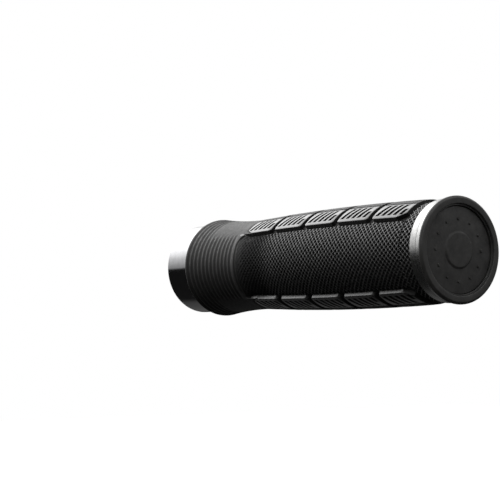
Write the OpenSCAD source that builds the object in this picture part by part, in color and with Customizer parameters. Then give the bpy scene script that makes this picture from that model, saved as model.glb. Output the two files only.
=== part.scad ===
// Lock-on handlebar grip with a bar-end plug. All sizes are in millimetres.
// The bar's axis is X: the clamp ring's inboard face is at x = 0 and the plug is at the +X end.
// Angles around the bar start at -Y, the side that faces forward, and grow towards +Z, the top.

/* [Overall] */
// Length from the clamp ring's inboard face to the cap's outer face
grip_length = 135; // [130:1:140]
// Outer diameter of the handlebar that the grip slides onto
bar_d = 22.2; // [22.1:0.05:22.3]
// Inner diameter of the handlebar, which the plug expands into
bar_inner_d = 18.4; // [18.2:0.1:18.6]

/* [Clamp ring] */
// Length of the clamp ring along the bar
ring_length = 13.6; // [13:0.1:14]
// Outer diameter of the clamp ring
ring_d = 31.5; // [31:0.1:32]
// Chamfer on the ring's outer edges
ring_chamfer = 0.7; // [0.3:0.1:1]
// Width of the slit that the pinch bolt closes
slit_w = 1.6; // [1.2:0.1:2]
// Angle of the pinch bolt's pad around the bar
pad_angle = -135; // [-150:5:-120]
// Radius of the pinch bolt's pad from the bar's axis
pad_r = 17.4; // [17.2:0.1:17.8]
// Number of tongues that key the core into the ring
tongues = 4; // [3:1:4]

/* [Rubber sleeve] */
// Diameter of the flared end beside the clamp ring
flange_d = 34.7; // [34:0.1:35.4]
// Length of the flared and ribbed stretch
flange_length = 26.4; // [24:0.2:28]
// Number of fine ribs on the flared stretch
ribs = 12; // [8:1:14]
// Depth of the grooves between the ribs
rib_depth = 0.45; // [0.2:0.05:0.6]
// Diameter of the barrel at its middle, over the tread blocks
barrel_mid_d = 32.8; // [32:0.1:33.5]
// Diameter of the barrel at its two ends, over the tread blocks
barrel_end_d = 30.8; // [30.4:0.1:31]
// Depth of the two textured panels below the tread blocks
panel_drop = 1.4; // [1:0.1:1.5]
// Angle around the bar that each textured panel spans
panel_span = 90; // [80:2:92]
// Angle of the front panel's middle
panel_tilt = -6; // [-10:1:10]
// Number of tread blocks along each edge of a panel
tread_blocks = 5; // [4:1:6]
// Width of the channel between two tread blocks
channel_w = 1.9; // [1.4:0.1:2.4]
// Length of the slots in a block; the last one, by the block's outboard end, is half as long
slot_length = 5.4; // [4:0.1:5.8]
// Angle by which the slots lean outboard, away from the panel
slot_lean = 22; // [0:1:25]
// Number of slots in each block
slots_per_block = 5; // [3:1:6]
// Depth of the slots
slot_depth = 0.9; // [0.5:0.1:1]

/* [End cap] */
// Outer diameter of the end cap
cap_d = 31.8; // [31.2:0.1:32]
// Thickness of the end cap's disc
cap_thickness = 2.7; // [2.6:0.1:3]
// Diameter of the badge disc set into the cap
badge_d = 25.8; // [25.4:0.2:26.6]
// Depth of the badge's face below the cap's outer face
badge_depth = 1.1; // [1:0.1:1.2]

/* [Expander] */
// Length of the split bush that grips inside the bar
bush_length = 19; // [17:0.5:20]
// Turns of the screw that free the plug
release_turns = 4; // [2:1:4]

/* [Hidden] */
$fn = 96;
fit_gap = 0.3;
running_gap = 0.05;
// Bar bore: a straight wall that guides the bar, relieved around the plug
bore_r = bar_d / 2 + running_gap;
relief_r = bore_r + fit_gap;
bore_start = ring_length + 2 * fit_gap;
relief_start = grip_length - 40;
// Core
core_r = 12.6;
rim_r = barrel_end_d / 2;
rim_length = 2.5;
rim_gap = 0.1;
rim_chamfer = 0.15;
rim_end = grip_length - cap_thickness - rim_gap;
rim_start = rim_end - rim_length;
// Rubber sleeve
sleeve_start = ring_length + fit_gap;
flange_end = sleeve_start + flange_length;
barrel_steps = 20;
flange_lip = 1.4;
rib_pitch = (flange_length - flange_lip) / ribs;
rib_land = 0.55;
tread_start = flange_end + 4;
tread_end = rim_start - 5.7;
block_pitch = (tread_end - tread_start + channel_w) / tread_blocks;
block_length = block_pitch - channel_w;
first_slot = 2.7;
last_slot = 1.5;
slot_pitch = (block_length - first_slot - last_slot) / (slots_per_block - 1);
slot_w = 1.1;
slot_middle = 13.5;
saddle_span = 180 - panel_span;
overcut = 4;
// Tongues
tongue_depth = 4;
tongue_inner_r = relief_r + 0.1;
tongue_r = core_r - 0.2;
tongue_gap = 0.15;
tongue_angle = 28;
// Pinch bolt: M3, with a 2.5 mm socket
pinch_r = 1.5;
pinch_pitch = 0.5;
pinch_hole_r = 1.7;
pinch_head_r = 2.75;
pinch_head_h = 3;
pinch_length = 10;
pinch_key = 2.5;
pinch_distance = 14.3;
pinch_seat = 3.2;
pad_half_w = 8;
pad_depth = 6;
pad_slope = 3.5;
pinch_washer_r = 2.95;
pinch_washer_t = 0.5;
pinch_pocket_r = 3.15;
tapped_depth = 7.2;
// End cap and badge
cap_start = grip_length - cap_thickness;
cap_r = cap_d / 2;
lip_start = grip_length - 1.6;
badge_face = grip_length - badge_depth;
badge_t = 0.9;
badge_r = badge_d / 2;
badge_gap = 0.1;
badge_floor = badge_face - badge_t - badge_gap;
badge_dome_r = 5.2;
badge_dome_h = 0.35;
badge_pips = 12;
badge_pip_r = 0.55;
badge_pip_ring = 9.2;
badge_pip_h = 0.3;
step_r = badge_r + 0.55;
step_depth = 0.5;
clip_outer_r = 5.4;
clip_inner_r = 4.4;
clip_length = 2.6;
stem_r = bar_inner_d / 2 - fit_gap;
stem_length = 9;
stem_end = cap_start - stem_length;
head_floor = stem_end + 2.6;
clip_room = clip_length + 0.3;
// Plug screw: M4, with a 3 mm socket
screw_r = 2;
screw_pitch = 0.7;
screw_hole_r = 2.25;
screw_head_r = 3.5;
screw_head_h = 3.2;
screw_key = 3;
screw_washer_r = 4.1;
screw_washer_t = 0.8;
head_room_r = 4.25;
head_seat = head_floor + screw_washer_t;
screw_tip = grip_length - 39;
// Bush, wedge cone and nut
bush_r = bar_inner_d / 2;
bush_end = stem_end - 0.1;
bush_start = bush_end - bush_length;
bush_bore_r = 5.6;
bush_mouth_r = 8;
bush_slit_w = 1.4;
cone_length = 8;
cone_skirt = 2.2;
cone_gap = 0.1;
cone_end = bush_start + cone_length - cone_skirt;
key_w = 1;
key_r = bush_r - 0.6;
key_foot_r = 5;
nut_flats = 7;
nut_h = 3.2;
nut_gap = 0.1;
key_depth = 2;

// Radius of the barrel over the tread blocks at a place along the bar
function barrel_r(x) =
    let (half = (rim_start - flange_end) / 2, t = (x - flange_end - half) / half)
    barrel_mid_d / 2 - (barrel_mid_d - barrel_end_d) / 2 * t * t;
// Radius of the flared stretch: a parabola that runs into the barrel
function flange_r(x) =
    let (t = (flange_end - x) / flange_length)
    barrel_end_d / 2 + (flange_d - barrel_end_d) / 2 * t * t;
// Points of the barrel's outline, lowered by a drop
function barrel_points(from, to, drop) =
    [for (i = [0:barrel_steps]) let (x = from + (to - from) * i / barrel_steps) [barrel_r(x) - drop, x]];

// Turns a profile of radius and place along the bar about the bar's axis
module turned() { rotate([0, 90, 0]) rotate_extrude() children(); }
// The same from one angle around the bar to another
module turned_sector(from, to) {
    rotate([0, 90, 0]) rotate([0, 0, 270 - to]) rotate_extrude(angle = to - from) children();
}
// A cylinder along the bar
module rod(r, from, to) { translate([from, 0, 0]) rotate([0, 90, 0]) cylinder(r = r, h = to - from); }
// A regular hexagonal rod along the bar, by its width across flats
module hex_rod(flats, from, to) {
    translate([from, 0, 0]) rotate([0, 90, 0]) cylinder(d = flats / cos(30), h = to - from, $fn = 6);
}
// Puts local +Z on the radius through the pad, with the bolt's axis along local +Y
module at_pad() { rotate([90 - pad_angle, 0, 0]) translate([ring_length / 2, 0, pinch_distance]) children(); }
// A cylinder along the pinch bolt's axis
module cross_rod(r, from, to) { translate([0, to, 0]) rotate([90, 0, 0]) cylinder(r = r, h = to - from); }

// Outline of the ribbed stretch: a lip at the ring, then grooves and lands along the flare
function rib_points() = concat(
    [[flange_r(sleeve_start) - 0.5, sleeve_start], [flange_r(sleeve_start), sleeve_start + 0.5]],
    [for (i = [0:ribs - 1]) let (x = sleeve_start + flange_lip + i * rib_pitch, m = (rib_pitch - rib_land) / 2)
        each [[flange_r(x), x], [flange_r(x) - rib_depth, x + m], [flange_r(x), x + 2 * m]]]);

module sleeve_base() {
    turned() polygon(concat(
        [[core_r, sleeve_start]], rib_points(),
        barrel_points(flange_end, rim_start, panel_drop),
        [[core_r, rim_start]]));
}

// The raised saddle that carries one blocks' row at each of its two edges
module saddle(middle) {
    turned_sector(middle - saddle_span / 2, middle + saddle_span / 2) difference() {
        polygon(concat(
            [[core_r + 0.5, flange_end - 1]],
            barrel_points(flange_end - 1, tread_end, 0),
            [[core_r + 0.5, tread_end]]));
        for (i = [0:tread_blocks - 2])
            translate([barrel_end_d / 2 - panel_drop, tread_start + block_length + i * block_pitch])
                square([overcut, channel_w]);
    }
}

// The slots of one row of blocks; outward is 1 in the row above its panel and -1 in the row below
module row_slots(middle, outward) {
    for (i = [0:tread_blocks - 1], j = [0:slots_per_block - 1]) {
        x = tread_start + i * block_pitch + first_slot + j * slot_pitch;
        length = slot_length * (j == slots_per_block - 1 ? 0.5 : 1);
        start = outward > 0 ? -slot_length / 2 : slot_length / 2 - length;
        rotate([90 - middle, 0, 0]) translate([x, 0, barrel_r(x) - slot_depth])
            rotate([0, 0, -outward * slot_lean]) translate([-slot_w / 2, start, 0])
                cube([slot_w, length, overcut]);
    }
}

module rubber_sleeve() {
    color([0.13, 0.13, 0.12]) difference() {
        union() {
            sleeve_base();
            for (side = [0, 180]) saddle(panel_tilt + 90 + side);
        }
        for (side = [0, 180]) {
            row_slots(panel_tilt + panel_span / 2 + slot_middle + side, 1);
            row_slots(panel_tilt - panel_span / 2 - slot_middle + side, -1);
        }
    }
}

module core_sleeve() {
    color([0.32, 0.32, 0.31]) {
        turned() polygon([
            [relief_r, sleeve_start], [relief_r, bore_start], [bore_r, bore_start],
            [bore_r, relief_start], [relief_r, relief_start], [relief_r, rim_end],
            [rim_r - rim_chamfer, rim_end], [rim_r, rim_end - rim_chamfer], [rim_r, rim_start],
            [core_r, rim_start], [core_r, sleeve_start]]);
        for (i = [0:tongues - 1]) {
            middle = i * 360 / tongues;
            turned_sector(middle - tongue_angle / 2, middle + tongue_angle / 2)
                translate([tongue_inner_r, sleeve_start - tongue_depth])
                    square([tongue_r - tongue_inner_r, tongue_depth + 1]);
        }
    }
}

module lock_ring() {
    notch = tongue_angle / 2 + 1;
    color([0.05, 0.05, 0.055]) difference() {
        union() {
            turned() polygon([
                [bore_r, 0], [ring_d / 2 - ring_chamfer, 0], [ring_d / 2, ring_chamfer],
                [ring_d / 2, ring_length - ring_chamfer], [ring_d / 2 - ring_chamfer, ring_length],
                [bore_r, ring_length]]);
            intersection() {
                difference() {
                    rod(pad_r, 1.2, ring_length - 1.2);
                    rod(bore_r + 1, 0, ring_length);
                }
                at_pad() rotate([90, 0, 90]) linear_extrude(ring_length, center = true) polygon([
                    [-pad_half_w, -pad_depth], [-pad_half_w, 0], [-pad_half_w + pad_slope, pad_depth],
                    [pad_half_w - pad_slope, pad_depth], [pad_half_w, 0], [pad_half_w, -pad_depth]]);
            }
        }
        for (i = [0:tongues - 1]) {
            middle = i * 360 / tongues;
            turned_sector(middle - notch, middle + notch)
                translate([bore_r - 1, ring_length - tongue_depth])
                    square([tongue_r + tongue_gap - bore_r + 1, tongue_depth + 1]);
        }
        at_pad() {
            translate([-ring_length, -slit_w / 2, -7]) cube([2 * ring_length, slit_w, 14]);
            cross_rod(pinch_r + running_gap, -tapped_depth, 0);
            cross_rod(pinch_hole_r, 0, pinch_seat + 1);
            cross_rod(pinch_pocket_r, pinch_seat, pad_half_w + 6);
        }
    }
}

module pinch_washer() {
    color([0.6, 0.6, 0.62]) at_pad() difference() {
        cross_rod(pinch_washer_r, pinch_seat, pinch_seat + pinch_washer_t);
        cross_rod(pinch_hole_r, pinch_seat - 1, pinch_seat + 1);
    }
}

module pinch_bolt() {
    seat = pinch_seat + pinch_washer_t;
    color([0.2, 0.2, 0.21]) at_pad() difference() {
        union() {
            cross_rod(pinch_r, seat - pinch_length, seat + 1);
            cross_rod(pinch_head_r, seat, seat + pinch_head_h);
        }
        translate([0, seat + pinch_head_h + 1, 0]) rotate([90, 0, 0])
            cylinder(d = pinch_key / cos(30), h = key_depth + 1, $fn = 6);
    }
}

module end_cap() {
    color([0.15, 0.145, 0.14]) turned() difference() {
        union() {
            translate([0, stem_end]) square([stem_r, stem_length + 0.5]);
            polygon([
                [0, cap_start], [rim_r - rim_chamfer, cap_start], [rim_r, cap_start + rim_chamfer],
                [rim_r, lip_start],
                [cap_r, lip_start + 0.6], [cap_r, grip_length - 0.75], [cap_r - 0.2, grip_length - 0.3],
                [cap_r - 0.7, grip_length], [0, grip_length]]);
        }
        translate([-1, stem_end - 1]) square([screw_hole_r + 1, stem_length]);
        translate([-1, head_floor]) square([head_room_r + 1, stem_length]);
        translate([-1, badge_floor - clip_room]) square([clip_outer_r + badge_gap + 1, clip_room + 1]);
        translate([-1, badge_floor]) square([badge_r + badge_gap + 1, badge_t + 2]);
        translate([-1, grip_length - step_depth]) square([step_r + 1, step_depth + 1]);
    }
}

module cap_badge() {
    color([0.17, 0.165, 0.16]) {
        turned() union() {
            translate([0, badge_face - badge_t]) square([badge_r, badge_t]);
            translate([0, badge_face - 0.1]) square([badge_dome_r, badge_dome_h + 0.1]);
            translate([clip_inner_r, badge_face - badge_t - clip_length])
                square([clip_outer_r - clip_inner_r, clip_length + 0.1]);
        }
        for (i = [0:badge_pips - 1]) rotate([i * 360 / badge_pips, 0, 0]) translate([0, 0, badge_pip_ring])
            rod(badge_pip_r, badge_face - 0.1, badge_face + badge_pip_h);
    }
}

module screw_washer() {
    color([0.7, 0.7, 0.72]) turned()
        translate([screw_hole_r, head_floor]) square([screw_washer_r - screw_hole_r, screw_washer_t]);
}

module plug_screw() {
    color([0.62, 0.62, 0.64]) difference() {
        union() {
            rod(screw_r, screw_tip, head_seat + 1);
            rod(screw_head_r, head_seat, head_seat + screw_head_h);
        }
        hex_rod(screw_key, head_seat + screw_head_h - key_depth, head_seat + screw_head_h + 1);
    }
}

module expander_bush() {
    color([0.1, 0.1, 0.1]) difference() {
        turned() polygon([
            [bush_mouth_r, bush_start], [bush_r, bush_start + 0.4], [bush_r, bush_end - 0.4],
            [bush_r - 0.4, bush_end], [bush_bore_r, bush_end], [bush_bore_r, bush_start + cone_length]]);
        translate([bush_start - 1, -bush_slit_w / 2, 0]) cube([bush_length + 2, bush_slit_w, bush_r + 1]);
    }
}

module wedge_cone() {
    skirt_start = bush_start - cone_skirt;
    slope = (bush_mouth_r - bush_bore_r) / cone_length;
    color([0.25, 0.25, 0.26]) difference() {
        turned() polygon([
            [screw_hole_r, skirt_start], [bush_mouth_r - cone_gap, skirt_start],
            [bush_mouth_r - cone_gap, bush_start],
            [bush_mouth_r - cone_gap - slope * (cone_end - bush_start), cone_end],
            [screw_hole_r, cone_end]]);
        hex_rod(nut_flats + 2 * nut_gap, skirt_start - 1, skirt_start + nut_h + nut_gap);
    }
    color([0.25, 0.25, 0.26]) translate([bush_start, -key_w / 2, key_foot_r])
        cube([cone_end - bush_start, key_w, key_r - key_foot_r]);
}

module wedge_nut() {
    start = bush_start - cone_skirt;
    color([0.72, 0.72, 0.74]) difference() {
        hex_rod(nut_flats, start, start + nut_h);
        rod(screw_r + running_gap, start - 1, start + nut_h + 1);
    }
}

rubber_sleeve();
core_sleeve();
lock_ring();
pinch_washer();
pinch_bolt();
end_cap();
cap_badge();
screw_washer();
plug_screw();
expander_bush();
wedge_cone();
wedge_nut();
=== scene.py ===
"""Looks of the handlebar grip: the rubber sleeve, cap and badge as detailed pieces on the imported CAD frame.

Lengths are in millimetres and are multiplied by MM where a mesh or a material is made. The camera and the
floor are placed in metres. The bar's axis is X. Angles around the bar are in degrees, start at -Y (forward)
and grow towards +Z (up).
"""

import math

import bmesh
import bpy
import numpy as np
from mathutils import Matrix, Vector


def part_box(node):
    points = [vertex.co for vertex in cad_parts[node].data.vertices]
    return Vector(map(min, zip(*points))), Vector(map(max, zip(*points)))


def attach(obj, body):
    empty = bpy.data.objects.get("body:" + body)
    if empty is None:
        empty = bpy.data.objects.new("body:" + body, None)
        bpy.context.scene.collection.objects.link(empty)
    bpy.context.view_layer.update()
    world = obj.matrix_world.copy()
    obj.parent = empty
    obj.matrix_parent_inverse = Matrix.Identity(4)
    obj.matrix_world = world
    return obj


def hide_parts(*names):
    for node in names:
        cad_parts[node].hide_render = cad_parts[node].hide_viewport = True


MM = 0.001

# ---- sizes much as in the CAD model, which has narrower slots and deeper ribs -------------------
SLEEVE_START, FLANGE_END, RIM_START = 13.9, 40.3, 129.7
SLEEVE_INNER_R = 12.6
BARREL_END_R, BARREL_RISE, FLANGE_RISE = 15.4, 1.0, 1.95
PANEL_DROP = 1.4
PANEL_TILT = -6.0
RIBS, RIB_FIRST, RIB_PITCH, RIB_LAND, RIB_DEPTH = 12, 15.3, 2.0833, 0.55, 0.28
TREAD_START, BLOCK_PITCH, BLOCK_LENGTH, BLOCKS = 44.3, 16.32, 14.42, 5
SLOTS, SLOT_FIRST, SLOT_PITCH, SLOT_WIDTH, SLOT_DEPTH = 5, 2.7, 2.555, 1.55, 0.9
SLOT_FROM, SLOT_MIDDLE, SLOT_TO = 49.0, 58.5, 67.5

# ---- details of the sleeve, the cap and the badge ------------------------------------------------
KNURL_AXIAL, KNURL_STEPS, KNURL_HEIGHT = 1.77, 6, 0.75
KNURLS_AROUND = 54
KNURL_AROUND = 360 / KNURLS_AROUND
RIDGE_TOP, RIDGE_FOOT = 0.05, 0.27  # half widths, as shares of the pitch
RIDGE_SHARE = 0.8  # height of a single ridge; where two cross they reach 1
RIBS_FADE_ALONG, RIBS_FADE_AROUND = (21, 27), (36, 48)  # in line with the tread blocks the ribs fade out
RIB_COLUMN = 3.0  # degrees
LIP_ROUNDING = 0.75  # at the flare's wide end
FLANGE_LAND = 0.2  # plain barrel after the flare
PANEL_COLUMNS, PANEL_ROWS = 39, 280  # columns from a panel's middle to its edge, and rows along it
PANEL_EDGE = PANEL_COLUMNS * KNURL_AROUND / KNURL_STEPS  # at the foot of the pads' wall
PAD_EDGE, PAD_OUTER, PAD_STEP = 45.0, 70.0, 0.25
SLOT_LEAN = 0.114  # along the bar per degree
PANEL_START, PANEL_CORNER, PANEL_LEDGE = 41.1, 4.5, 0.35
PANEL_MARGIN = 0.25  # a panel's rim is counted from this far beyond the pads' edge
PANEL_PLAIN = 1.0  # the start of a panel, in the skin's material
SIDES_WIDTH = 1.0  # the strip along a panel's sides that is at full depth first
FLOOR_SINKS, SIDES_SINK = (41, 55), (43, 47.5)  # where a panel goes from its ledge to its full depth
KNURL_STARTS, KNURL_GROWS, KNURL_START_SHARE = (41.5, 46), (42, 64), 0.35
WALL_WIDTH, KNURL_INSET = 0.45, (0.75, 1.2)  # in from a panel's rim
GRID_START, GRID_END = 40.9, 124.2  # where the panels and the saddles between them start and end
LEAD_ROWS, STEP_START = (41.8, 42.7, 43.4), 43.9  # up to the first block
ROW_GAP = 0.02  # the least distance between a block's rows
TOP_EDGE, TOP_LAND = 0.12, 0.34  # the rounded ends of a block's top
EDGE_DROP, OUTER_DROP = 0.07, 0.05  # how far a block's edges are rounded down
SLOT_WALL, SLOT_INSET = 0.07, 0.35  # along the bar and around it
GROOVE_FROM, GROOVE_TO, GROOVE_DEPTH = 0.2, 1.6, 0.3  # between the pads and the crown, past PAD_OUTER
# cuts at the blocks' ends: millimetres along the bar, then degrees around it
CHAMFER_LENGTH, CHAMFER_SPAN = 3.5, 6.0
FIRST_CUT_LENGTH, FIRST_CUT_SPAN = 3.0, 4.7
MOUTH_ROUNDING, MOUTH_SPAN = 0.6, 2.2
RING_KNURL_RISES = (GRID_END + 0.1, GRID_END + 0.8)  # beyond the last blocks
SIDE_R, SIDE_END = 15.4, 133.8  # the cap's side below its lip
PIPS, PIP_RING, PIP_R, PIP_TOP_R, PIP_LENGTH, PIP_X = 12, 9.2, 0.55, 0.4, 0.4, 134.0
SKIN, PADS, KNURL = 0, 1, 2  # the sleeve's material slots
NEAR = 0.1  # degrees, when columns are picked by their angle
PATTERN_LOW, PATTERN_HIGH = 0.3, 0.7  # the range of a pattern that the materials spread over their values


def ramp(value, low, high):
    """0 below low, 1 above high, and a smooth step between."""
    t = np.clip((value - low) / (high - low), 0, 1)
    return t * t * (3 - 2 * t)


def folded(angle):
    """The angle from the middle of the nearer panel, 0 to 90."""
    return np.abs((angle + 90) % 180 - 90)


def point(x, r, angle):
    """Positions in metres of points at a place along the bar, a radius and an angle from the front panel."""
    a = np.radians(angle + PANEL_TILT)
    return np.stack([x, -r * np.cos(a), r * np.sin(a)], axis=-1) * MM


def barrel_r(x):
    half = (RIM_START - FLANGE_END) / 2
    return BARREL_END_R + BARREL_RISE * (1 - ((x - FLANGE_END - half) / half) ** 2)


def flange_r(x):
    t = (FLANGE_END - x) / (FLANGE_END - SLEEVE_START)
    return BARREL_END_R + FLANGE_RISE * t * t


# ---- the rubber sleeve ---------------------------------------------------------------------------
class Skin:
    """Collects the sleeve's points and triangles, patch by patch."""

    def __init__(self):
        self.points, self.triangles, self.slots = [], [], []
        self.count = 0

    def add_points(self, xyz):
        flat = xyz.reshape(-1, 3)
        numbers = np.arange(self.count, self.count + len(flat)).reshape(xyz.shape[:-1])
        self.points.append(flat)
        self.count += len(flat)
        return numbers

    def add_grid(self, numbers, r, slots=SKIN):
        """Cuts each cell along its flatter diagonal, so that the ridges stay straight."""
        a, b, c, d = numbers[:-1, :-1], numbers[:-1, 1:], numbers[1:, 1:], numbers[1:, :-1]
        flat = np.abs(r[:-1, :-1] - r[1:, 1:]) <= np.abs(r[:-1, 1:] - r[1:, :-1]) + 1e-9
        first = np.where(flat[..., None], np.stack([a, b, c], -1), np.stack([a, b, d], -1))
        second = np.where(flat[..., None], np.stack([a, c, d], -1), np.stack([b, c, d], -1))
        self.triangles += [first.reshape(-1, 3), second.reshape(-1, 3)]
        marks = np.broadcast_to(slots, a.shape).reshape(-1)
        self.slots += [marks, marks]

    def add_strip(self, a, at_a, b, at_b, slot=SKIN):
        """Joins two rows of points whose spacing differs."""
        triangles, i, j = [], 0, 0
        while i < len(a) - 1 or j < len(b) - 1:
            if j == len(b) - 1 or (i < len(a) - 1 and at_a[i + 1] <= at_b[j + 1]):
                triangles.append((a[i], a[i + 1], b[j]))
                i += 1
            else:
                triangles.append((a[i], b[j + 1], b[j]))
                j += 1
        self.triangles.append(np.array(triangles))
        self.slots.append(np.full(len(triangles), slot))


def knurl(x, angle):
    """Height of the crossed diagonal ridges, 0 to 1 where they cross."""
    u, v = (x - GRID_END) / KNURL_AXIAL, angle / KNURL_AROUND
    ridges = [1 - ramp(np.abs((phase + 0.5) % 1 - 0.5), RIDGE_TOP, RIDGE_FOOT) for phase in (u + v, u - v)]
    return RIDGE_SHARE * np.maximum(*ridges) + (1 - RIDGE_SHARE) * np.minimum(*ridges)


def flange_rows():
    """Places along the flared stretch and their radius at full rib depth and with no ribs."""
    lip = [(SLEEVE_START, SLEEVE_INNER_R), (SLEEVE_START, flange_r(SLEEVE_START) - LIP_ROUNDING)]
    for turn in (20, 45, 70):
        a = math.radians(turn)
        x = SLEEVE_START + LIP_ROUNDING * (1 - math.cos(a))
        lip.append((x, flange_r(x) - LIP_ROUNDING * (1 - math.sin(a))))
    lip.append((SLEEVE_START + LIP_ROUNDING, flange_r(SLEEVE_START + LIP_ROUNDING)))
    rows = [(x, r, r) for x, r in lip]
    half = (RIB_PITCH - RIB_LAND) / 2
    for i in range(RIBS):
        start = RIB_FIRST + i * RIB_PITCH
        for s in (-1, -0.72, -0.4, 0, 0.4, 0.72, 1):
            x = start + half * (1 + s)
            rows.append((x, flange_r(x) - RIB_DEPTH * (1 - s * s), flange_r(x)))
    rows.append((FLANGE_END + FLANGE_LAND, barrel_r(FLANGE_END), barrel_r(FLANGE_END)))
    return np.array(rows)


def panel_radius(x, angle):
    """The sunken textured panel: a wall with rounded corners round its inboard end, then the knurl."""
    side = (PAD_EDGE - folded(angle)) * np.radians(barrel_r(x)) + PANEL_MARGIN
    along = x - PANEL_START
    corner = PANEL_CORNER - np.hypot(PANEL_CORNER - along, PANEL_CORNER - side)
    inside = np.where((along < PANEL_CORNER) & (side < PANEL_CORNER), corner, np.minimum(along, side))
    sides = ramp(PANEL_CORNER + SIDES_WIDTH - side, 0, PANEL_CORNER) * ramp(x, *SIDES_SINK)
    drop = PANEL_LEDGE + (PANEL_DROP - PANEL_LEDGE) * np.maximum(ramp(x, *FLOOR_SINKS), sides)
    share = KNURL_START_SHARE * ramp(x, *KNURL_STARTS) + (1 - KNURL_START_SHARE) * ramp(x, *KNURL_GROWS)
    texture = ramp(inside, *KNURL_INSET) * share * KNURL_HEIGHT * knurl(x, angle)
    return barrel_r(x) - drop * ramp(inside, 0, WALL_WIDTH) + texture


def saddle_rows():
    """(place, level, block, slot) of each row of points across a saddle.

    The block is -1 off the blocks. The slot is -1 before a block's first slot and -2 past its last one.
    """
    rows = [(x, "skin", -1, -1) for x in (GRID_START, *LEAD_ROWS)] + [(STEP_START, "step", -1, -1)]
    for i in range(BLOCKS):
        start = TREAD_START + i * BLOCK_PITCH
        end = start + BLOCK_LENGTH
        if i:
            rows.append((start - (BLOCK_PITCH - BLOCK_LENGTH) / 2, "floor", -1, -1))
        rows += [
            (start, "floor" if i else "step", i, -1), (start + TOP_EDGE, "edge", i, -1),
            (start + TOP_LAND, "land", i, -1)]
        for j in range(SLOTS):
            a = start + SLOT_FIRST + j * SLOT_PITCH - SLOT_WIDTH / 2
            b = a + SLOT_WIDTH
            rows += [
                (a, "land", i, j), (a + SLOT_WALL, "slot", i, j),
                (b - SLOT_WALL, "slot", i, j), (b, "land", i, j)]
        rows += [(end - TOP_LAND, "land", i, -2), (end - TOP_EDGE, "edge", i, -2), (end, "floor", i, -2)]
    rows.append((GRID_END, "floor", -1, -1))
    return rows


def saddle_columns():
    """Angles across half a saddle, from the pads' inner edge to the crown."""
    inner = np.linspace(SLOT_FROM + SLOT_INSET, SLOT_MIDDLE - SLOT_INSET, 5)
    outer = np.linspace(SLOT_MIDDLE + SLOT_INSET, SLOT_TO - SLOT_INSET, 5)
    rim = PAD_EDGE + np.array([0, 0.4, 1.2, 2.8])
    groove = PAD_OUTER + np.array([-0.5, 0, 0.5, 1.4, 2])
    crown = np.arange(75, 91, 5)
    return np.concatenate([rim, [SLOT_FROM], inner, [SLOT_MIDDLE], outer, [SLOT_TO], groove, crown])


def saddle_grid():
    """Places, radii and angles of a saddle's points, and which cells are the pads' polished tops."""
    rows, half = saddle_rows(), saddle_columns()
    angle = np.concatenate([half, 180 - half[-2::-1]])
    fold = folded(angle)
    x0 = np.array([row[0] for row in rows])
    level = np.array([row[1] for row in rows])
    block = np.array([row[2] for row in rows])
    slot = np.array([row[3] for row in rows])
    top = np.isin(level, ["edge", "land", "slot"])
    last = slot == SLOTS - 1
    full_slot = (fold > SLOT_FROM + NEAR) & (fold < SLOT_TO - NEAR)
    half_slot = full_slot & (fold < SLOT_MIDDLE - NEAR)
    sunk = (level == "slot")[:, None] & np.where(last[:, None], half_slot, full_slot)
    groove = (fold > PAD_OUTER + GROOVE_FROM) & (fold < PAD_OUTER + GROOVE_TO)

    drop = np.zeros(sunk.shape)
    drop[level == "floor"] = PANEL_DROP
    drop[level == "step"] = np.where(fold < PAD_OUTER + GROOVE_TO, PAD_STEP, 0)
    drop[level == "edge"] = EDGE_DROP
    drop[sunk] = SLOT_DEPTH
    drop[np.ix_(top, fold < PAD_EDGE + NEAR)] += EDGE_DROP
    drop[np.ix_(top, np.abs(fold - PAD_OUTER) < NEAR)] += OUTER_DROP
    drop[np.ix_(top, groove)] += GROOVE_DEPTH

    x = np.repeat(x0[:, None], len(angle), axis=1)
    r = barrel_r(x) - drop
    lean = SLOT_LEAN * (np.clip(fold, SLOT_FROM, np.where(last, SLOT_MIDDLE, SLOT_TO)[:, None]) - SLOT_MIDDLE)
    x += np.where(slot[:, None] >= 0, lean, 0)
    mouth = MOUTH_ROUNDING * np.clip(1 - (fold - PAD_EDGE) / MOUTH_SPAN, 0, 1) ** 2
    x[(block > 0) & (slot == -1)] += mouth
    x[(block >= 0) & (block < BLOCKS - 1) & (slot == -2)] -= mouth
    before = x0 <= TREAD_START + TOP_LAND
    first_cut = FIRST_CUT_LENGTH * np.clip(1 - (fold - PAD_EDGE) / FIRST_CUT_SPAN, 0, 1)
    x[before] += first_cut * np.clip((x0[before, None] - GRID_START) / (STEP_START - GRID_START), 0, 1)
    chamfer = CHAMFER_LENGTH * np.clip(1 - (fold - PAD_EDGE) / CHAMFER_SPAN, 0, 1)
    x[(block == BLOCKS - 1) & (slot == -2)] -= chamfer
    for row in np.flatnonzero((block == 0) & (slot >= 0)):
        x[row] = np.maximum(x[row], x[row - 1] + ROW_GAP)
    for row in np.flatnonzero((block >= 0) & (slot >= 0))[::-1]:
        x[row] = np.minimum(x[row], x[row + 1] - ROW_GAP)

    shiny = top[:, None] & (fold < PAD_OUTER + NEAR) & ~sunk
    polished = shiny[:-1, :-1] & shiny[1:, :-1] & shiny[:-1, 1:] & shiny[1:, 1:]
    return x, r, angle, np.where(polished, PADS, SKIN)


def ring_rows():
    """Places along the knurled stretch between the last blocks and the band."""
    step = KNURL_AXIAL / KNURL_STEPS
    return np.append(np.arange(GRID_END + step, RIM_START - 0.1, step), RIM_START)


def closed(numbers):
    """A row of points with its first one again at the end."""
    return np.append(numbers, numbers[0])


def full_turn(angle):
    """A row's angles with the first one again at the end, a turn later."""
    return np.append(angle, angle[0] + 360)


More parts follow.
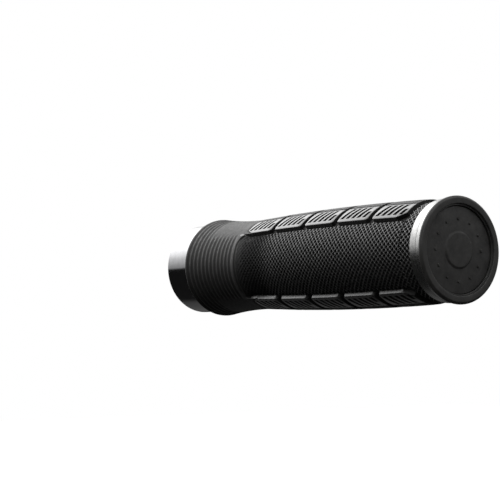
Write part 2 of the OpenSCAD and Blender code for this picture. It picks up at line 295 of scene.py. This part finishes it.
def add_flange(skin):
    """The flared stretch with its ribs. Gives its points and their angles."""
    rows = flange_rows()
    angle = -PANEL_EDGE + np.arange(0, 360, RIB_COLUMN)
    fade = 1 - ramp(rows[:, :1], *RIBS_FADE_ALONG) * ramp(folded(angle), *RIBS_FADE_AROUND)
    r = rows[:, 1:2] * fade + rows[:, 2:3] * (1 - fade)
    numbers = skin.add_points(point(np.broadcast_to(rows[:, :1], r.shape), r, angle))
    numbers = np.concatenate([numbers, numbers[:, :1]], axis=1)
    skin.add_grid(numbers, np.concatenate([r, r[:, :1]], axis=1))
    return numbers, full_turn(angle)


def add_panel(skin, turn):
    """A sunken panel. Gives its points, their angles and the places along its two sides."""
    step = KNURL_AXIAL / KNURL_STEPS
    places = np.concatenate([
        [GRID_START, PANEL_START, PANEL_START + 0.25],
        np.arange(GRID_END - PANEL_ROWS * step, GRID_END + 0.01, step)])
    angle = np.arange(-PANEL_COLUMNS, PANEL_COLUMNS + 1) * KNURL_AROUND / KNURL_STEPS + turn
    x, a = np.meshgrid(places, angle, indexing="ij")
    r = panel_radius(x, a)
    numbers = skin.add_points(point(x, r, a))
    in_knurl = places[:-1] > PANEL_START + PANEL_PLAIN
    skin.add_grid(numbers, r, (in_knurl * KNURL)[:, None])
    return numbers, angle, places, places


def add_saddle(skin, turn):
    """A saddle of tread blocks. Gives its points, their angles and the places along its two sides."""
    x, r, angle, slots = saddle_grid()
    angle = angle + turn
    numbers = skin.add_points(point(x, r, np.broadcast_to(angle, x.shape)))
    skin.add_grid(numbers, r, slots)
    return numbers, angle, x[:, 0], x[:, -1]


def add_ring(skin):
    """The knurled ring beside the band and the sleeve's end face. Gives its points and their angles."""
    columns = KNURLS_AROUND * KNURL_STEPS
    angle = -PANEL_EDGE + np.arange(columns) * KNURL_AROUND / KNURL_STEPS
    x, a = np.meshgrid(ring_rows(), angle, indexing="ij")
    share = np.where(folded(a) > PANEL_EDGE, ramp(x, *RING_KNURL_RISES), 1)
    r = barrel_r(x) - PANEL_DROP + share * KNURL_HEIGHT * knurl(x, a)
    r = np.concatenate([r, np.full((1, columns), SLEEVE_INNER_R)])
    x = np.concatenate([x, np.full((1, columns), RIM_START)])
    numbers = skin.add_points(point(x, r, np.broadcast_to(angle, x.shape)))
    numbers = np.concatenate([numbers, numbers[:, :1]], axis=1)
    skin.add_grid(numbers, np.concatenate([r, r[:, :1]], axis=1), KNURL)
    return numbers, full_turn(angle)


def build_sleeve():
    """The flare, two panels and two saddles side by side, the ring and the inside, joined by strips."""
    skin = Skin()
    flange, flange_turn = add_flange(skin)
    patches = [add(skin, turn) for turn in (0, 180) for add in (add_panel, add_saddle)]
    for (here, _, _, here_x), (after, _, after_x, _) in zip(patches, patches[1:] + patches[:1]):
        skin.add_strip(here[:, -1], here_x, after[:, 0], after_x, PADS)
    starts = np.concatenate([patch[0][0] for patch in patches])
    ends = np.concatenate([patch[0][-1] for patch in patches])
    around = full_turn(np.concatenate([patch[1] for patch in patches]))
    skin.add_strip(flange[-1], flange_turn, closed(starts), around)
    ring, ring_turn = add_ring(skin)
    skin.add_strip(closed(ends), around, ring[0], ring_turn)
    skin.add_strip(ring[-1], ring_turn, flange[0], flange_turn)

    mesh = bpy.data.meshes.new("grip_rubber")
    mesh.from_pydata(np.concatenate(skin.points).tolist(), [], np.concatenate(skin.triangles).tolist())
    mesh.polygons.foreach_set("material_index", np.concatenate(skin.slots).astype(np.int32))
    turn_outward(mesh)
    sharpen(mesh, 38, keep_smooth=textured)
    return new_piece("sleeve", mesh)


def textured(points):
    """Whether each point is in the knurl, where every edge stays smooth."""
    x = points[:, 0] / MM
    angle = np.degrees(np.arctan2(points[:, 2], -points[:, 1])) - PANEL_TILT
    inside = (folded(angle) < PANEL_EDGE - NEAR) & (x > PANEL_START) & (x < GRID_END + 0.1)
    return inside | ((x > GRID_END + 0.4) & (x < RIM_START - 0.05))


# ---- mesh helpers --------------------------------------------------------------------------------
def new_piece(name, mesh):
    obj = bpy.data.objects.new(name, mesh)
    bpy.context.scene.collection.objects.link(obj)
    return obj


def turn_outward(mesh):
    bm = bmesh.new()
    bm.from_mesh(mesh)
    bmesh.ops.recalc_face_normals(bm, faces=bm.faces)
    bm.to_mesh(mesh)
    bm.free()


def sharpen(mesh, degrees, keep_smooth=None):
    """Smooth shading, with edges sharper than the angle left hard."""
    mesh.polygons.foreach_set("use_smooth", np.ones(len(mesh.polygons), bool))
    mesh.set_sharp_from_angle(angle=math.radians(degrees))
    if keep_smooth and "sharp_edge" in mesh.attributes:
        places = np.zeros(len(mesh.vertices) * 3, np.float32)
        mesh.vertices.foreach_get("co", places)
        soft = keep_smooth(places.reshape(-1, 3))
        edges = np.zeros(len(mesh.edges) * 2, np.int32)
        mesh.edges.foreach_get("vertices", edges)
        edges = edges.reshape(-1, 2)
        sharp = np.zeros(len(edges), bool)
        mesh.attributes["sharp_edge"].data.foreach_get("value", sharp)
        sharp &= ~(soft[edges[:, 0]] & soft[edges[:, 1]])
        mesh.attributes["sharp_edge"].data.foreach_set("value", sharp)
    mesh.update()


def rounded(corners, steps=4):
    """A closed profile from (r, x, rounding) corners, each rounded by its radius."""
    profile, count = [], len(corners)
    for i, (r, x, size) in enumerate(corners):
        here = Vector((r, x))
        before = Vector(corners[i - 1][:2]) - here
        after = Vector(corners[(i + 1) % count][:2]) - here
        if size <= 0:
            profile.append((r, x))
            continue
        half = before.angle(after) / 2
        cut = min(size / math.tan(half), 0.45 * before.length, 0.45 * after.length)
        a, b = here + before.normalized() * cut, here + after.normalized() * cut
        for k in range(steps + 1):
            t = k / steps
            place = a * (1 - t) ** 2 + here * 2 * t * (1 - t) + b * t * t
            profile.append((place.x, place.y))
    return profile


def lathe(name, profile, segments=180):
    """Turns a closed profile of (r, x) in millimetres about the bar's axis."""
    profile = np.array(profile)
    turns = np.linspace(0, 2 * math.pi, segments, endpoint=False)
    r, a = np.meshgrid(profile[:, 0], turns, indexing="ij")
    x = np.broadcast_to(profile[:, 1:2], r.shape)
    points = np.stack([x, -r * np.cos(a), r * np.sin(a)], -1) * MM
    rows, columns = r.shape
    row, column = np.meshgrid(np.arange(rows) * columns, np.arange(columns), indexing="ij")
    next_row, next_column = (row + columns) % (rows * columns), (column + 1) % columns
    quads = np.stack([row + column, row + next_column, next_row + next_column, next_row + column], -1)
    mesh = bpy.data.meshes.new(name)
    mesh.from_pydata(points.reshape(-1, 3).tolist(), [], quads.reshape(-1, 4).tolist())
    turn_outward(mesh)
    return mesh


# ---- the cap and its badge -----------------------------------------------------------------------
def build_cap():
    """The end cap; its side below the lip is polished like the band beside it."""
    profile = rounded([
        (2.25, 123.3, 0.15), (2.25, 125.9, 0), (4.25, 125.9, 0), (4.25, 130.0, 0), (5.5, 130.0, 0),
        (5.5, 132.9, 0), (13.0, 132.9, 0.1), (13.0, 134.45, 0.25), (13.45, 134.4, 0.05), (13.5, 135.0, 0.4),
        (15.25, 135.0, 0.5), (15.9, 134.45, 0.6), (15.9, 134.0, 0.12), (SIDE_R, SIDE_END, 0.05),
        (SIDE_R, 132.22, 0.02), (8.9, 132.3, 0.2), (8.9, 123.3, 0.5)], steps=6)
    mesh = lathe("cap", profile)
    for face in mesh.polygons:
        r = math.hypot(face.center.y, face.center.z) / MM
        on_side = r > SIDE_R - 0.06 and face.center.x < (SIDE_END + 0.02) * MM
        face.material_index = int(on_side)
    sharpen(mesh, 40)
    return new_piece("cap", mesh)


def build_badge():
    """The plain badge: a low dome in the middle and a ring of small pips."""
    outline = rounded([
        (4.4, 130.4, 0.1), (5.4, 130.4, 0.3), (5.4, 133.0, 0), (12.9, 133.0, 0.1), (12.9, 133.9, 0.25),
        (5.6, 133.9, 0.3), (5.0, 134.22, 0.3), (0.02, 134.25, 0), (0.02, 133.0, 0), (4.4, 133.0, 0.1)])
    mesh = lathe("badge", outline)
    bm = bmesh.new()
    bm.from_mesh(mesh)
    for k in range(PIPS):
        turn = Matrix.Rotation(k * 2 * math.pi / PIPS, 4, "X")
        place = turn @ Matrix.Translation((PIP_X * MM, 0, PIP_RING * MM))
        bmesh.ops.create_cone(
            bm, cap_ends=True, segments=32, radius1=PIP_R * MM, radius2=PIP_TOP_R * MM, depth=PIP_LENGTH * MM,
            matrix=place @ Matrix.Rotation(math.pi / 2, 4, "Y"))
    bm.to_mesh(mesh)
    bm.free()
    sharpen(mesh, 40)
    return new_piece("badge", mesh)


# ---- materials -----------------------------------------------------------------------------------
class Material:
    """A Principled material with small helpers for procedural patterns in object coordinates."""

    def __init__(self, name, color, roughness, metallic=0.0):
        self.material = bpy.data.materials.new(name)
        self.material.use_nodes = True
        self.nodes = self.material.node_tree.nodes
        self.links = self.material.node_tree.links
        self.shader = next(node for node in self.nodes if node.type == "BSDF_PRINCIPLED")
        self.shader.inputs["Base Color"].default_value = (*color, 1)
        self.shader.inputs["Roughness"].default_value = roughness
        self.shader.inputs["Metallic"].default_value = metallic
        self.place = self.nodes.new("ShaderNodeTexCoord").outputs["Object"]
        self.color, self.height = color, None

    def noise(self, size, detail=3.0, rough=0.55):
        """Noise whose features are about size millimetres across."""
        node = self.nodes.new("ShaderNodeTexNoise")
        node.inputs["Scale"].default_value = 1 / (size * MM)
        node.inputs["Detail"].default_value = detail
        node.inputs["Roughness"].default_value = rough
        self.links.new(self.place, node.inputs["Vector"])
        return node.outputs["Fac"]

    def spread(self, fac, low, high, out_low, out_high, kind="LINEAR"):
        node = self.nodes.new("ShaderNodeMapRange")
        node.interpolation_type = kind
        for key, value in zip(("From Min", "From Max", "To Min", "To Max"), (low, high, out_low, out_high)):
            node.inputs[key].default_value = value
        self.links.new(fac, node.inputs["Value"])
        return node.outputs["Result"]

    def combine(self, operation, a, b=0.0):
        """A math node of two sockets or numbers."""
        node = self.nodes.new("ShaderNodeMath")
        node.operation = operation
        for socket, value in zip(node.inputs, (a, b)):
            if isinstance(value, (int, float)):
                socket.default_value = value
            else:
                self.links.new(value, socket)
        return node.outputs[0]

    def relief(self):
        """Height in millimetres above the panels' floor, from the distance to the bar's axis."""
        axes = self.nodes.new("ShaderNodeSeparateXYZ")
        self.links.new(self.place, axes.inputs[0])
        x, y, z = axes.outputs
        squares = [self.combine("MULTIPLY", side, side) for side in (y, z)]
        r = self.combine("SQRT", self.combine("ADD", *squares))
        half = (RIM_START - FLANGE_END) / 2
        t = self.combine("DIVIDE", self.combine("SUBTRACT", x, (FLANGE_END + half) * MM), half * MM)
        sag = self.combine("MULTIPLY", self.combine("MULTIPLY", t, t), BARREL_RISE)
        sinks_from, sinks_to = (place * MM for place in FLOOR_SINKS)
        drop = self.spread(x, sinks_from, sinks_to, PANEL_LEDGE, PANEL_DROP, "SMOOTHSTEP")
        depth = self.combine("ADD", sag, drop)
        above = self.combine("SUBTRACT", self.combine("DIVIDE", r, MM), BARREL_END_R + BARREL_RISE)
        return self.combine("ADD", above, depth)

    def mottle(self, fac, dark, light):
        """Varies the base colour between dark and light times its own value."""
        node = self.nodes.new("ShaderNodeValToRGB")
        ends = node.color_ramp.elements
        ends[0].position, ends[1].position = PATTERN_LOW, PATTERN_HIGH
        ends[0].color = (*(c * dark for c in self.color), 1)
        ends[1].color = (*(c * light for c in self.color), 1)
        self.links.new(fac, node.inputs["Fac"])
        self.links.new(node.outputs["Color"], self.shader.inputs["Base Color"])

    def vary(self, socket, fac, low, high):
        """Drives an input of the shader between low and high."""
        value = self.spread(fac, PATTERN_LOW, PATTERN_HIGH, low, high)
        self.links.new(value, self.shader.inputs[socket])

    def bump(self, fac, height):
        """Adds relief of that height in millimetres."""
        node = self.nodes.new("ShaderNodeBump")
        node.inputs["Strength"].default_value = 1
        node.inputs["Distance"].default_value = height * MM
        self.links.new(fac, node.inputs["Height"])
        if self.height is not None:
            self.links.new(self.height, node.inputs["Normal"])
        self.height = node.outputs["Normal"]
        self.links.new(self.height, self.shader.inputs["Normal"])


def rubber_skin():
    look = Material("rubber_skin", (0.011, 0.0108, 0.0104), 0.6)
    look.mottle(look.noise(4.0, 4), 0.8, 1.2)
    look.vary("Roughness", look.noise(0.9, 4), 0.54, 0.68)
    look.shader.inputs["Specular IOR Level"].default_value = 0.34
    look.bump(look.noise(0.16, 3), 0.018)
    return look.material


def rubber_knurl(pit=0.36, ridge=0.7):
    """Ridges rubbed smooth and glossy with duller pits between them; in the base colour, painted shade
    darkens the pits and a painted highlight lightens the ridges; heights are above the panels' floor.
    """
    look = Material("rubber_knurl", (0.012, 0.0118, 0.0114), 0.38)
    wear_and_painted_shade = look.spread(look.relief(), pit, ridge, PATTERN_LOW, PATTERN_HIGH)
    # painted shade and painted highlight: the base colour runs from 0.08 times its value in the pits to 3.6
    # times on the ridges
    look.mottle(wear_and_painted_shade, 0.08, 3.6)
    look.vary("Roughness", wear_and_painted_shade, 0.7, 0.2)
    look.vary("Specular IOR Level", wear_and_painted_shade, 0.05, 1.0)
    look.shader.inputs["IOR"].default_value = 2.2
    return look.material


def rubber_pads():
    look = Material("rubber_pads", (0.02, 0.0197, 0.019), 0.3)
    look.mottle(look.noise(3.0, 4), 0.85, 1.15)
    look.vary("Roughness", look.noise(0.5, 4), 0.24, 0.32)
    look.shader.inputs["IOR"].default_value = 1.46
    look.bump(look.noise(0.25, 3), 0.01)
    return look.material


def cap_plastic():
    look = Material("cap_plastic", (0.03, 0.0295, 0.0285), 0.42)
    look.mottle(look.noise(4.0, 5), 0.65, 1.4)
    look.vary("Roughness", look.noise(0.7, 4), 0.36, 0.5)
    look.bump(look.noise(0.3, 4), 0.012)
    return look.material


def badge_plastic():
    look = Material("badge_plastic", (0.03, 0.0295, 0.0285), 0.5)
    look.mottle(look.noise(4.0, 5, 0.65), 0.5, 1.5)
    look.vary("Roughness", look.noise(1.6, 5), 0.38, 0.62)
    look.bump(look.noise(0.22, 4), 0.014)
    return look.material


def band_plastic():
    look = Material("band_plastic", (0.25, 0.25, 0.247), 0.26, metallic=1.0)
    look.mottle(look.noise(0.8, 5, 0.65), 0.8, 1.2)
    look.vary("Roughness", look.noise(0.35, 4), 0.22, 0.32)
    look.bump(look.noise(0.2, 3), 0.006)
    return look.material


def black_anodised():
    look = Material("black_anodised", (0.19, 0.19, 0.194), 0.1, metallic=1.0)
    look.mottle(look.noise(2.0, 3), 0.92, 1.08)
    look.vary("Roughness", look.noise(0.6, 4), 0.07, 0.13)
    return look.material


def plated_steel(name, color, roughness):
    look = Material(name, color, roughness, metallic=1.0)
    look.mottle(look.noise(1.5, 4), 0.85, 1.1)
    look.vary("Roughness", look.noise(0.4, 4), roughness - 0.06, roughness + 0.08)
    look.bump(look.noise(0.12, 3), 0.004)
    return look.material


def hard_rubber():
    look = Material("bush_rubber", (0.02, 0.02, 0.02), 0.5)
    look.mottle(look.noise(2.0, 4), 0.8, 1.2)
    look.vary("Roughness", look.noise(0.5, 4), 0.42, 0.56)
    look.bump(look.noise(0.2, 3), 0.01)
    return look.material


def grey_nylon():
    look = Material("wedge_nylon", (0.09, 0.09, 0.094), 0.42)
    look.mottle(look.noise(1.2, 4), 0.85, 1.15)
    look.vary("Roughness", look.noise(0.5, 4), 0.36, 0.48)
    look.bump(look.noise(0.25, 3), 0.008)
    return look.material


def dress(obj, *materials):
    """Gives a piece or a CAD node these materials, in slot order, and keeps its faces' slot numbers."""
    slots = obj.data.materials
    for i, material in enumerate(materials):
        if i < len(slots):
            slots[i] = material
        else:
            slots.append(material)


# ---- stage ---------------------------------------------------------------------------------------
def add_camera(azimuth=54.39, elevation=-3.77, distance=0.4075, pan=0.06067, lens=100.8, face_depth=0.0012):
    """The photograph's view: turned round the cap's middle, then panned towards the clamp ring."""
    az, el = math.radians(azimuth), math.radians(elevation)
    back = Vector((math.sin(az) * math.cos(el), -math.cos(az) * math.cos(el), math.sin(el)))
    right = Vector((math.cos(az), math.sin(az), 0))
    up = back.cross(right)
    cap_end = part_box("end_cap")[1].x
    target = Vector((cap_end - face_depth, 0, 0)) - right * pan
    camera = bpy.data.objects.new("camera", bpy.data.cameras.new("camera"))
    camera.data.lens, camera.data.sensor_width = lens, 36
    camera.data.clip_start = 0.01
    turn = Matrix((right, up, back)).transposed().to_4x4()
    camera.matrix_world = Matrix.Translation(target + back * distance) @ turn
    bpy.context.scene.collection.objects.link(camera)
    bpy.context.scene.camera = camera


def add_floor(height=-0.3, size=8.0):
    bpy.ops.mesh.primitive_plane_add(size=size, location=(0, 0, height))
    floor = bpy.context.object
    floor.name = "floor"
    material = bpy.data.materials.new("floor_white")
    material.use_nodes = True
    shader = next(node for node in material.node_tree.nodes if node.type == "BSDF_PRINCIPLED")
    shader.inputs["Base Color"].default_value = (0.9, 0.9, 0.9, 1)
    shader.inputs["Roughness"].default_value = 0.9
    shader.inputs["Emission Color"].default_value = (1, 1, 1, 1)
    shader.inputs["Emission Strength"].default_value = 0.75
    floor.data.materials.append(material)
    floor.visible_diffuse = floor.visible_glossy = False


def add_world(key=2.4, fill=0.8, ground=0.03, key_side=(-0.75, -0.25, 0.6)):
    """A white room seen directly; as a light it is bright on the key's side and dark below the horizon."""
    # direction, cosines of the outer and inner edge, strength
    softboxes = [
        ((-0.8, -0.02, 0.6), 0.82, 0.985, 3.4), ((-0.8, -0.3, 0.45), 0.88, 0.98, 0.7),
        ((-0.8, 0.36, -0.48), 0.92, 0.985, 0.15), ((0.0, -0.3, 0.95), 0.86, 0.98, 3.0)]
    world = bpy.data.worlds.new("studio")
    bpy.context.scene.world = world
    world.use_nodes = True
    nodes, links = world.node_tree.nodes, world.node_tree.links
    nodes.clear()

    def spread(value, *ends):
        node = nodes.new("ShaderNodeMapRange")
        node.interpolation_type = "SMOOTHSTEP"
        for key_name, end in zip(("From Min", "From Max", "To Min", "To Max"), ends):
            node.inputs[key_name].default_value = end
        links.new(value, node.inputs["Value"])
        return node.outputs["Result"]

    def combine(operation, a, b):
        node = nodes.new("ShaderNodeMath")
        node.operation = operation
        for socket, value in zip(node.inputs, (a, b)):
            if isinstance(value, float):
                socket.default_value = value
            else:
                links.new(value, socket)
        return node.outputs[0]

    place = nodes.new("ShaderNodeTexCoord").outputs["Generated"]
    axes = nodes.new("ShaderNodeSeparateXYZ")
    links.new(place, axes.inputs[0])

    def towards(direction):
        node = nodes.new("ShaderNodeVectorMath")
        node.operation = "DOT_PRODUCT"
        node.inputs[1].default_value = Vector(direction).normalized()
        links.new(place, node.inputs[0])
        return node.outputs["Value"]

    horizon = spread(axes.outputs["Z"], -0.01, 0.05, 0.0, 0.6)
    rise = spread(axes.outputs["Z"], 0.03, 0.35, 0.0, 0.4)
    side = spread(towards(key_side), 0.35, 1.0, fill, key)
    strength = combine("ADD", combine("MULTIPLY", combine("ADD", horizon, rise), side), ground)
    for direction, outer, inner, power in softboxes:
        strength = combine("ADD", strength, spread(towards(direction), outer, inner, 0.0, power))

    light = nodes.new("ShaderNodeBackground")
    links.new(strength, light.inputs["Strength"])
    seen = nodes.new("ShaderNodeBackground")
    seen.inputs["Color"].default_value = (1, 1, 1, 1)
    mix = nodes.new("ShaderNodeMixShader")
    links.new(nodes.new("ShaderNodeLightPath").outputs["Is Camera Ray"], mix.inputs["Fac"])
    links.new(light.outputs[0], mix.inputs[1])
    links.new(seen.outputs[0], mix.inputs[2])
    links.new(mix.outputs[0], nodes.new("ShaderNodeOutputWorld").inputs["Surface"])


# ---- assembly ------------------------------------------------------------------------------------
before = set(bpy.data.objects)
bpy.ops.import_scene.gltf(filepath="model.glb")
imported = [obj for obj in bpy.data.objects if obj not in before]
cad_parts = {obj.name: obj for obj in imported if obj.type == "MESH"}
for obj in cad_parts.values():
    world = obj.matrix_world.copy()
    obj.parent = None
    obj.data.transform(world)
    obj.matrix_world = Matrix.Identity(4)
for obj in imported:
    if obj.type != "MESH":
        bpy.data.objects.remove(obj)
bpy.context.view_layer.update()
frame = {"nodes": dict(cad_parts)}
bpy.context.scene.view_settings.view_transform = "Standard"

add_camera()
add_floor()
add_world()

sleeve = build_sleeve()
dress(sleeve, rubber_skin(), rubber_pads(), rubber_knurl())
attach(sleeve, "grip")
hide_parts("rubber_sleeve")

cap = build_cap()
band = band_plastic()
dress(cap, cap_plastic(), band)
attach(cap, "bar_plug")
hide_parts("end_cap")

badge = build_badge()
dress(badge, badge_plastic())
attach(badge, "badge")
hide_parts("cap_badge")

nodes = frame["nodes"]
dress(nodes["core_sleeve"], band)
dress(nodes["lock_ring"], black_anodised())
zinc = plated_steel("zinc_steel", (0.62, 0.62, 0.64), 0.3)
for name in ("pinch_washer", "plug_screw", "screw_washer", "wedge_nut"):
    dress(nodes[name], zinc)
dress(nodes["pinch_bolt"], plated_steel("black_steel", (0.06, 0.06, 0.065), 0.36))
dress(nodes["expander_bush"], hard_rubber())
dress(nodes["wedge_cone"], grey_nylon())
